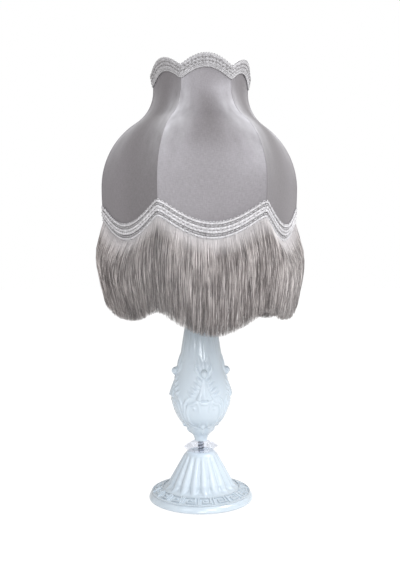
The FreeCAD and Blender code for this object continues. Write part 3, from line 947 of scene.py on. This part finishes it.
@dataclass
class Fringe:
    """The silk fringe that hangs from the hem, one piece for each side, parted below each rib.

    The tables hold shares or sizes for the sides in turn, or, for the flare, from the hem down to the tips.
    """

    form: ShadeForm
    silk: Material
    strand_radius: float = 0.2 * MM
    strand_count: int = 2200
    strand_steps: int = 10
    length: float = 94 * MM
    depth: float = 4.2 * MM
    parting: float = 3.5 * MM
    parting_start: float = 0.82
    flare: float = 11.5 * MM
    cusp_drop: float = 4.5 * MM
    flare_shares: tuple = (0.0, 0.55, 0.93, 1.0, 0.86, 0.68, 0.48)
    length_shares: tuple = (1.0, 0.87, 0.93, 0.98, 0.93, 0.87)
    leans: tuple = (0, 2 * MM, 4 * MM, 4 * MM, 6 * MM, 8 * MM)
    lock_count: int = 60
    lock_scatter: float = 0.8
    most_gather: float = 0.3
    reach_scatter: float = 0.048
    reach_gain: float = 0.018
    drift: float = 0.012
    sway: float = 0.35 * MM
    ripple: float = 0.0018
    beats: tuple = (5, 13)
    widths: tuple = (0.7, 1.2)
    mark_scatter: float = 0.022

    def point(self, place: float, down: float, out: float) -> Vector:
        """A point of the hanging fringe.

        Args:
            place: Sides from the middle of the front one, so that 0.5 is its right rib.
            down: From 0 at the hem to 1 at the tips.
            out: How far outside the hem's line.

        Returns:
            The point.
        """
        side = math.floor(place + 0.5)
        across = (place - side) * 2
        head = self.form.point(across, self.form.row(across, 0))
        reach = math.hypot(head.x, head.y)
        flare = self.flare * eased(self.flare_shares, down) - self.around(self.leans, place) * down ** 2
        scale = (reach + out + flare) / reach
        length = self.length * self.around(self.length_shares, place) + self.cusp_drop * abs(across) ** 3
        return turned(Vector((head.x * scale, head.y * scale, head.z - length * down)), side)

    @staticmethod
    def around(table: Sequence[float], place: float) -> float:
        """A value that changes smoothly round the shade, from a table with one for each side."""
        side = math.floor(place)
        part = place - side
        blend = part * part * (3 - 2 * part)
        return table[side % SIDES] * (1 - blend) + table[(side + 1) % SIDES] * blend

    def strand(self, side: int, number: int, chance: random.Random) -> tuple:
        """One silk strand, drawn at random within its lock.

        Args:
            side: The side that it hangs from.
            number: Its number along the side.
            chance: Where the draws come from.

        Returns:
            Its points, its radii and its place across the UV map.
        """
        root = (number + chance.random()) / self.strand_count - 0.5
        lock = round(root * self.lock_count + chance.gauss(0, self.lock_scatter)) / self.lock_count
        layer = chance.random()
        reach = 1.0 - abs(chance.gauss(0, self.reach_scatter)) + self.reach_gain
        drift = chance.gauss(0, self.drift)
        gather = chance.uniform(0.0, self.most_gather)
        wave = chance.uniform(0, 2 * math.pi)
        beat = chance.uniform(*self.beats)
        sway = abs(chance.gauss(0, 1)) * self.sway
        near_rib = max(abs(root) * 2 - self.parting_start, 0) / (1 - self.parting_start)
        path = []
        for i in range(self.strand_steps):
            down = i / (self.strand_steps - 1) * reach
            drawn = (lock - root) * gather * math.sin(math.pi * min(down, 1))
            ripple = math.sin(wave + down * beat) * min(down * 3, 1)
            out = (0.5 - layer) * self.depth * (0.5 + down) + sway * ripple
            out -= self.parting * near_rib * min(down * 4, 1)
            path.append(self.point(side + root + drawn + drift * down ** 2 + self.ripple * ripple, down, out))
        width = self.strand_radius * chance.uniform(*self.widths)
        radii = [width * (1 - 0.5 * (i / (self.strand_steps - 1)) ** 3) for i in range(self.strand_steps)]
        return path, radii, (side + root + chance.gauss(0, self.mark_scatter)) / SIDES

    def make(self) -> None:
        """Makes the fringe, strand by strand."""
        chance = random.Random(7)
        for side in range(SIDES):
            drawn = [self.strand(side, number, chance) for number in range(self.strand_count)]
            paths, widths, marks = zip(*drawn)
            piece = strands(f"fringe_side_{side + 1}", paths, widths, 3, marks=marks)
            dress(piece, self.silk, Body.SHADE, "fringe_silk", f"fringe_{side + 1}")


# Candlestick


@dataclass(frozen=True)
class Ridge:
    """A raised ornament on the stem: a tapered bar through points, in millimetres.

    Points run across from the middle of a quarter, as seen from in front of it, and up from the stem's foot.
    """

    across: tuple
    up: tuple
    thick: tuple
    mirrored: bool = True


VOLUTE = Ridge(
    (5.4, 5.8, 8.4, 12.4, 16.4, 17.8, 16.9, 14.2, 9.8),
    (35.0, 42.5, 47.6, 45.6, 44.4, 38.0, 31.0, 25.0, 20.6),
    (0.5, 1.4, 1.8, 1.9, 1.9, 1.9, 1.8, 1.5, 0.8),
)
EYE = Ridge((9.4, 10.8, 12.2), (40.2, 40.8, 40.2), (0.9, 1.7, 0.9))
OUTER_BAND = Ridge((12.0, 17.0, 20.2, 20.6, 19.4, 15.8), (53.4, 51.2, 46.0, 38.5, 30.0, 23.6),
                   (0.6, 1.6, 1.9, 1.9, 1.8, 0.8))
BUD = Ridge((0, 0, 0), (76, 83, 93), (0.8, 2.4, 0.4), False)
BUD_SIDE = Ridge((1.8, 4.2, 5.4), (78, 87, 99), (0.9, 2.5, 0.4))
BUD_OUTER = Ridge((4.8, 8.0, 9.0), (74, 81, 93), (0.7, 2.3, 0.4))
BELL = Ridge((0, 0, 0), (75, 61, 51), (0.7, 2.8, 4.6), False)
BELL_SIDE = Ridge((1.2, 3.0, 6.2), (69, 59, 50.2), (1.2, 2.4, 3.2))
LIP = Ridge((-8.6, -4, 0, 4, 8.6), (50.4, 47.4, 46.6, 47.4, 50.4), (0.9, 1.8, 2.2, 1.8, 0.9), False)
FAN = tuple(Ridge(across, up, (1.0, 2.3, 1.0)) for across, up in (
    ((2.0, 4.8, 7.6), (67.6, 70.2, 74.4)),
    ((3.8, 7.4, 11.2), (62.2, 64.6, 69.0)),
    ((6.2, 10.2, 14.4), (57.6, 59.6, 63.6)),
    ((9.4, 13.2, 17.4), (53.8, 55.2, 58.4)),
))
CURL = Ridge((4.2, 4.6, 7.6, 12.0, 15.4), (25.6, 20.8, 17.8, 18.8, 22.2), (0.7, 1.6, 1.9, 1.6, 0.7))
CUP_LEAF = Ridge((0, 0, 0), (17.5, 12.5, 8), (0.5, 2.0, 0.6), False)
RELIEF = (VOLUTE, EYE, OUTER_BAND, BUD, BUD_SIDE, BUD_OUTER, BELL, BELL_SIDE, LIP, *FAN, CURL, CUP_LEAF)

# A reed's tail on the foot: radius, height and thickness in millimetres, from the cone out to the key band
TAIL = (
    (29.5, 19.9, 5.0), (31.2, 16.8, 4.7), (33.4, 14.6, 4.1),
    (36.0, 13.2, 3.3), (38.4, 12.6, 2.4), (40.4, 12.3, 1.6),
)

# How much of the stem's radius an ornament reaches across, and its least thickness in millimetres
WIDEST = 0.97
LEAST_THICK = 0.2

# One turn of the key pattern: corners across the unit and up the band, as shares
KEY_LINES = (
    ((0.0, 0.14), (1.0, 0.14)),
    ((0.0, 0.14), (0.0, 0.88)),
    ((0.0, 0.88), (0.78, 0.88)),
    ((0.78, 0.88), (0.78, 0.38)),
    ((0.78, 0.38), (0.3, 0.38)),
    ((0.3, 0.38), (0.3, 0.63)),
    ((0.3, 0.63), (0.55, 0.63)),
)


@dataclass
class Candlestick:
    """The moulded relief of the stem and the foot, the key pattern and the thread inside the knop."""

    stem: Object
    base: Object
    opal: Material
    thread: Material
    quarters: int = 4
    ridge_steps: int = 6
    stem_voxel: float = 0.66 * MM
    foot_voxel: float = 0.8 * MM
    sink: float = 0.45 * MM
    key_count: int = 18
    key_low: float = 55.2 * MM
    key_high: float = 40.6 * MM
    key_width: float = 1.5 * MM
    key_height: float = 1.35 * MM
    key_sink: float = 0.4 * MM
    key_round: float = 0.22 * MM
    key_splits: int = 8
    thread_pitch: float = 3.6 * MM
    thread_radius: float = 0.9 * MM
    thread_steps: int = 16
    rod_radius: float = 2.4 * MM
    beyond_stem: float = 100 * MM
    above_foot: float = 40 * MM

    def __post_init__(self) -> None:
        """Reads the surfaces of the stem and of the foot."""
        self.stem_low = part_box("knop")[1].z
        self.skin, self.floor = (
            BVHTree.FromPolygons([piece.matrix_world @ v.co for v in piece.data.vertices],
                                 [p.vertices[:] for p in piece.data.polygons])
            for piece in (self.stem, self.base)
        )

    def on_stem(self, bearing: float, height: float) -> Vector:
        """The point of the stem's surface at a bearing and a height."""
        outside = polar(self.beyond_stem, bearing, height)
        hit = self.skin.ray_cast(outside, Vector((-outside.x, -outside.y, 0)).normalized())
        return hit[0]

    def ridge_paths(self, ridge: Ridge, middle: float, sign: int) -> tuple:
        """Points and radii of one ornament.

        Args:
            ridge: The ornament.
            middle: Bearing of the quarter's middle.
            sign: 1 as drawn and -1 mirrored.

        Returns:
            The points and the radii.
        """
        steps = self.ridge_steps * len(ridge.up)
        path = []
        radii = []
        for i in range(steps + 1):
            along = i / steps
            height = self.stem_low + eased(ridge.up, along) * MM
            reach = self.on_stem(middle, height)
            share = sign * eased(ridge.across, along) * MM / math.hypot(reach.x, reach.y)
            spot = self.on_stem(middle + math.asin(max(min(share, WIDEST), -WIDEST)), height)
            sunk = 1 - self.sink / math.hypot(spot.x, spot.y)
            path.append(Vector((spot.x * sunk, spot.y * sunk, spot.z)))
            radii.append(max(eased(ridge.thick, along), LEAST_THICK) * MM)
        return path, radii

    def make_stem(self) -> None:
        """Makes the stem with its scrolls, leaves and buds moulded into one skin."""
        made = []
        for quarter in range(self.quarters):
            middle = FRONT + quarter * 2 * math.pi / self.quarters
            for ridge in RELIEF:
                for sign in (1, -1) if ridge.mirrored else (1,):
                    made.append(self.ridge_paths(ridge, middle, sign))
        self.mould("stem_moulding", self.stem, made, self.stem_voxel, "stem")

    def make_foot(self) -> None:
        """Makes the foot, whose reeds run out in tails to the key band."""
        widths = [thick * MM for _, _, thick in TAIL]
        made = []
        for unit in range(self.key_count):
            bearing = FRONT + unit * 2 * math.pi / self.key_count
            made.append(([polar(radius * MM, bearing, height * MM) for radius, height, _ in TAIL], widths))
        self.mould("foot_moulding", self.base, made, self.foot_voxel, "foot")

    def mould(self, name: str, solid: Object, made: Sequence[tuple], voxel: float, node: str) -> None:
        """Makes one skin of a solid and the ornaments that stand on it.

        Args:
            name: The piece's name.
            solid: The plain solid.
            made: Points and radii of each ornament.
            voxel: Size of the skin's finest detail.
            node: The CAD node that it replaces.
        """
        ridges = strands("relief", *zip(*made), 8)
        piece = joined(name, [copy_of("core", solid), ridges])
        apply(piece, "REMESH", mode="VOXEL", voxel_size=voxel, use_smooth_shade=True)
        apply(piece, "SMOOTH", factor=0.5, iterations=1)
        dress(piece, self.opal, Body.STICK, "white_gloss", node)

    def key_point(self, across: float, up: float, lift: float) -> Vector:
        """A point over the foot's key band.

        Args:
            across: Units of the pattern round from the front.
            up: From 0 at the band's outer edge to 1 at its inner edge.
            lift: Height over the band, square to it.

        Returns:
            The point.
        """
        radius = self.key_low + (self.key_high - self.key_low) * up
        bearing = FRONT + (across - 0.5) * 2 * math.pi / self.key_count
        above = polar(radius, bearing, self.above_foot)
        spot, normal, _, _ = self.floor.ray_cast(above, Vector((0, 0, -1)))
        return spot + normal * lift

    def make_keys(self) -> None:
        """Makes the raised key pattern of the foot, bar by bar."""
        spots = []
        faces = []
        for unit in range(self.key_count):
            for start, end in KEY_LINES:
                pieces = max(round(abs(end[0] - start[0]) * self.key_splits), 1)
                for i in range(pieces):
                    here, there = (
                        (unit + start[0] + (end[0] - start[0]) * t, start[1] + (end[1] - start[1]) * t)
                        for t in (i / pieces, (i + 1) / pieces)
                    )
                    self.add_bar(spots, faces, here, there)
        mesh = bpy.data.meshes.new("key_band")
        mesh.from_pydata(spots, [], faces)
        piece = new_piece("key_band", mesh)
        outward(piece)
        apply(piece, "BEVEL", width=self.key_round, segments=2)
        smooth(piece)
        dress(piece, self.opal, Body.STICK, "white_gloss")

    def add_bar(self, spots: list, faces: list, here: tuple, there: tuple) -> None:
        """Adds one short bar of the key pattern to a mesh's lists.

        Args:
            spots: The mesh's points so far.
            faces: The mesh's faces so far.
            here: The bar's start, across and up.
            there: The bar's end, across and up.
        """
        foot, head = self.key_point(*here, 0), self.key_point(*there, 0)
        normal = (self.key_point(*here, 1) - foot).normalized()
        ahead = (head - foot).normalized()
        side = normal.cross(ahead) * self.key_width / 2
        reach = ahead * self.key_width / 2
        base = len(spots)
        for lift in (-self.key_sink, self.key_height):
            for end, stretch in ((foot, -reach), (head, reach)):
                for edge in (-side, side):
                    spots.append(end + stretch + edge + normal * lift)
        faces += [tuple(base + i for i in ring) for ring in (
            (0, 1, 3, 2), (4, 6, 7, 5), (0, 4, 5, 1), (2, 3, 7, 6), (0, 2, 6, 4), (1, 5, 7, 3),
        )]

    def make_thread(self) -> None:
        """Makes the screw thread of the rod, seen through the clear knop."""
        low, high = (corner.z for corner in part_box("knop"))
        steps = round((high - low) / self.thread_pitch * self.thread_steps)
        turn = 2 * math.pi / self.thread_steps
        path = [polar(self.rod_radius, i * turn, low + (high - low) * i / steps) for i in range(steps + 1)]
        piece = strands("rod_thread", [path], [[self.thread_radius] * len(path)], 8)
        dress(piece, self.thread, Body.STICK, "zinc_steel")

    def make(self) -> None:
        """Makes every piece."""
        self.make_stem()
        self.make_foot()
        self.make_keys()
        self.make_thread()


@dataclass
class CandleInsert:
    """The spring that feeds the candle up its tube."""

    spring: Object
    steel: Material

    def make(self) -> None:
        """Makes the spring from a welded, smooth copy of the CAD node's mesh."""
        piece = copy_of("feed_coil", self.spring)
        weld(piece)
        smooth(piece)
        coat(piece, self.steel)
        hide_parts("feed_spring")
        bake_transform(piece)
        log.info("%s: %d faces between insert and candle", piece.name, len(piece.data.polygons))


# Studio


@dataclass(frozen=True)
class Lamp:
    """A soft square lamp that faces the middle of the object.

    Its azimuth is in degrees round from the front, positive to the right, and its elevation in degrees
    above level.
    """

    name: str
    azimuth: float
    elevation: float
    reach: float
    size: float
    watts: float
    color: tuple


def direction(azimuth: float, elevation: float) -> Vector:
    """The way from the object to a place round it, from its azimuth and elevation in degrees."""
    turn, rise = math.radians(azimuth), math.radians(elevation)
    return Vector((math.sin(turn) * math.cos(rise), -math.cos(turn) * math.cos(rise), math.sin(rise)))


@dataclass
class Studio:
    """White sweep, soft lamps and the camera at the photograph's angle."""

    azimuth: float = -7.0
    pitch: float = 1.85
    distance: float = 795 * MM
    aim_height: float = 236.5 * MM
    lens: float = 45.6
    shift: float = -0.0016
    sensor: float = 36
    clip: tuple = (0.05, 30)
    world_light: float = 0.66
    world_color: tuple = (1.0, 0.985, 0.97)
    floor_color: tuple = (0.93, 0.93, 0.93)
    floor_side: float = 12.0
    floor_glow: float = 1.1
    glow_share: float = 0.88
    lamps: tuple = (
        Lamp("key", 20, 32, 1.5, 0.5, 6.2, (0.915, 0.95, 1.0)),
        Lamp("crown", 68, 45, 1.3, 0.4, 9, (0.97, 0.985, 1.0)),
        Lamp("left", -38, 30, 1.7, 0.6, 4, (0.93, 0.96, 1.0)),
        Lamp("low", -4, 9, 1.7, 0.5, 6.8, (0.925, 0.96, 1.0)),
    )

    def place(self, name: str, data: ID, way: Vector, reach: float) -> Object:
        """Adds a camera or lamp that looks at the middle of the object.

        Args:
            name: Its name.
            data: Its camera or lamp settings.
            way: The way to it from the object.
            reach: How far away it stands.

        Returns:
            The camera or lamp.
        """
        thing = bpy.data.objects.new(name, data)
        bpy.context.collection.objects.link(thing)
        thing.location = Vector((0, 0, self.aim_height)) + way * reach
        thing.rotation_euler = (-way).to_track_quat("-Z", "Y").to_euler()
        return thing

    def make_camera(self) -> None:
        """Places the camera."""
        data = bpy.data.cameras.new("camera")
        data.lens = self.lens
        data.sensor_width = self.sensor
        data.shift_x = self.shift
        data.clip_start, data.clip_end = self.clip
        way = direction(self.azimuth, self.pitch)
        bpy.context.scene.camera = self.place("camera", data, way, self.distance)

    def make_lamps(self) -> None:
        """Hangs the lamps."""
        for lamp in self.lamps:
            data = bpy.data.lights.new(lamp.name, "AREA")
            data.energy = lamp.watts
            data.color = lamp.color
            data.size = lamp.size
            self.place(lamp.name, data, direction(lamp.azimuth, lamp.elevation), lamp.reach)

    def make_world(self) -> None:
        """Sets an even pale light, which is white to the camera and through clear pieces."""
        tree = Tree("studio", world=True)
        light = tree.add("Background", Color=(*self.world_color, 1), Strength=self.world_light)
        white = tree.add("Background", Color=(1, 1, 1, 1), Strength=1.0)
        bpy.context.scene.world = tree.finish(tree.mix(tree.seen(), light, white))

    def make_floor(self) -> None:
        """Lays a wide pale floor that shows white and keeps the shadow."""
        pick()
        bpy.ops.mesh.primitive_plane_add(size=self.floor_side)
        floor = bpy.context.view_layer.objects.active
        floor.name = "floor"
        tree = Tree("white_floor")
        matt = tree.add("BsdfDiffuse", Color=(*self.floor_color, 1))
        glow = tree.add("Emission", Strength=self.floor_glow)
        share = tree.math("MULTIPLY", tree.seen(), self.glow_share)
        floor.data.materials.append(tree.finish(tree.mix(share, matt, glow)))

    def make(self) -> None:
        """Makes the whole set."""
        self.make_camera()
        self.make_world()
        self.make_floor()
        self.make_lamps()
        bpy.context.scene.view_settings.view_transform = "Standard"


# The whole lamp


def make_finishes() -> dict:
    """Builds every finish, named for its material slot or for the scene's own piece."""
    finishes = (
        Coat("white_gloss", (0.515, 0.582, 0.642), (0.57, 0.636, 0.692), 0.22, 38, 0.0003,
             show=0.25, detail=3, stretch=0.35, soft=0.18, glow=(1, 1, 1), gloss=0.4),
        ClearGloss(),
        Coat("felt", (0.012, 0.014, 0.013), (0.03, 0.032, 0.03), 0.95, 900, 0.0003),
        Metal("zinc_steel", (0.42, 0.43, 0.45), (0.55, 0.56, 0.58), 0.28),
        Metal("thread_steel", (0.006, 0.007, 0.014), (0.014, 0.016, 0.03), 0.4),
        Metal("bright_metal", (0.62, 0.6, 0.57), (0.72, 0.7, 0.67), 0.14),
        Coat("wax", (0.82, 0.79, 0.7), (0.87, 0.84, 0.76), 0.45, 60, 0.0002, soft=0.3),
        Coat("wick_cotton", (0.55, 0.52, 0.45), (0.72, 0.69, 0.6), 0.9, 900, 0.0002),
        Coat("frame_paint", (0.72, 0.72, 0.71), (0.8, 0.8, 0.79), 0.35, 300, 0.00005),
        Satin(),
        Coat("lining_cloth", (0.6, 0.59, 0.59), (0.7, 0.69, 0.69), 0.85, 700, 0.0001),
        Thread("braid", (0.3, 0.285, 0.29), (0.56, 0.545, 0.555), (0.8, 0.785, 0.8), (0.58, 0.565, 0.58)),
        Thread("tight_braid", (0.19, 0.18, 0.183), (0.4, 0.388, 0.393), (0.6, 0.585, 0.595),
               (0.42, 0.41, 0.415)),
        # Dark dashes for the braids' holes: the satin's colour with painted shade
        Coat("braid_gap", (0.21, 0.198, 0.198), (0.29, 0.272, 0.272), 0.9, 900, 0.0001),
        # The fringe's silk; its parting sets the painted shade below each rib
        Thread("fringe_silk", (0.068, 0.058, 0.056), (0.26, 0.229, 0.219), (0.76, 0.7, 0.678),
               (0.66, 0.625, 0.625), root_reach=0.2, strands=1200, beat=2.6, parting=0.05),
    )
    return {finish.name: finish.build() for finish in finishes}


def paint(frame: dict, finishes: dict) -> None:
    """Gives every carried-over CAD node the finish of its material slot.

    Args:
        frame: What the frame holds.
        finishes: The materials by name.
    """
    slots = {part["node"]: part["material_slot"] for part in frame["record"]["subparts"]}
    for name, node in frame["nodes"].items():
        coat(node, finishes[slots[name]])


def main() -> None:
    """Loads the frame and builds every piece round it."""
    logging.basicConfig(level=logging.INFO, format="%(message)s")
    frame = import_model()
    finishes = make_finishes()
    paint(frame, finishes)
    Studio().make()
    nodes = frame["nodes"]
    Candlestick(nodes["stem"], nodes["foot"], finishes["white_gloss"], finishes["thread_steel"]).make()
    CandleInsert(nodes["feed_spring"], finishes["zinc_steel"]).make()
    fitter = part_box("shade_fitter")
    form = ShadeForm(belly_height=(fitter[0].z + fitter[1].z) / 2 - BELLY_UNDER_FITTER)
    Shade(form, finishes["satin"], finishes["lining_cloth"], finishes["braid"], finishes["tight_braid"],
          finishes["braid_gap"]).make()
    Fringe(form, finishes["fringe_silk"]).make()


if __name__ == "__main__":
    main()
